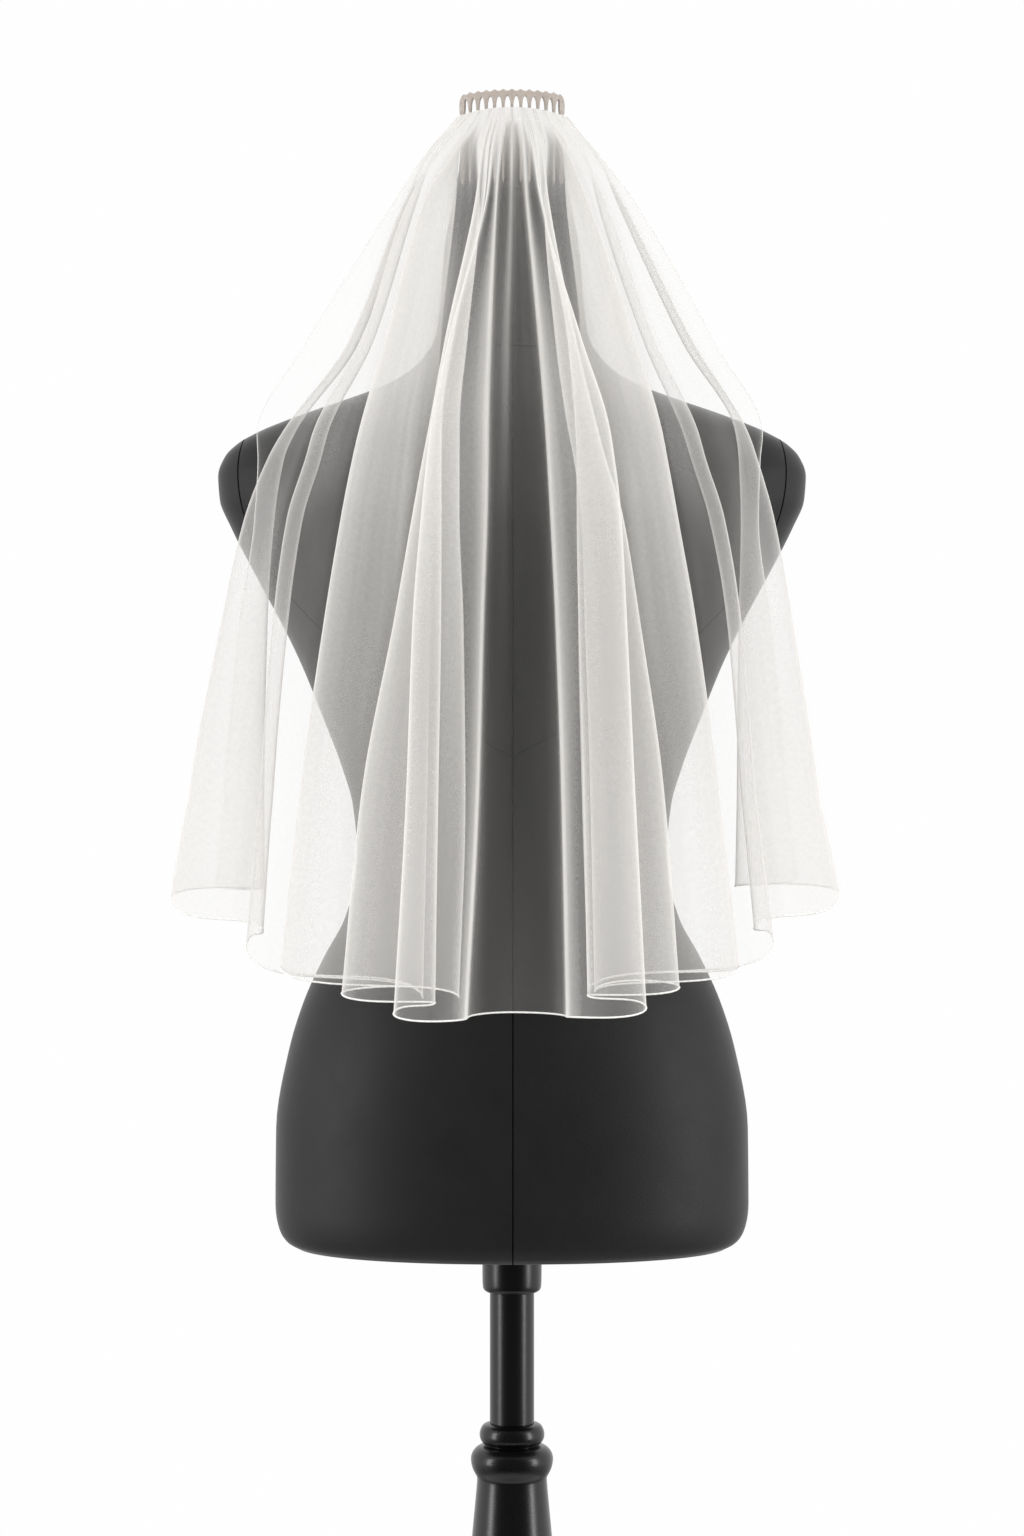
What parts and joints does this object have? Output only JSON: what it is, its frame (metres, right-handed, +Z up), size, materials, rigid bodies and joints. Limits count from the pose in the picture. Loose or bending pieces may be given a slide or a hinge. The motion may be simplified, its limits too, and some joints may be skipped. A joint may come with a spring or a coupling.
{
  "type": "bridal veil on a limbless dress form",
  "caption": "Short one-tier tulle bridal veil gathered to a hair comb and hanging in soft folds down the back of a limbless dress form on a turned stand.",
  "frame": {"origin": "centre of the round base's underside, on the floor", "axes": "+Z up; the form's back and the veil face -Y; +X is to the right for a viewer behind the form"},
  "size_m": [0.4574, 0.3535, 1.4863],
  "materials": {
    "tulle": "sheer ivory nylon tulle with a sewn pencil edge",
    "comb_plastic": "moulded taupe plastic, slightly translucent",
    "form_cloth": "charcoal-black knitted cover",
    "stand_metal": "satin black",
    "stand_wood": "turned, satin black lacquer"
  },
  "bodies": {
    "root": {"veil_panel": "tulle", "hair_comb": "comb_plastic", "form_body": "form_cloth", "stand_collar": "stand_metal", "stand_post": "stand_metal", "stand_column": "stand_wood", "stand_base": "stand_wood"}
  },
  "joints": []
}
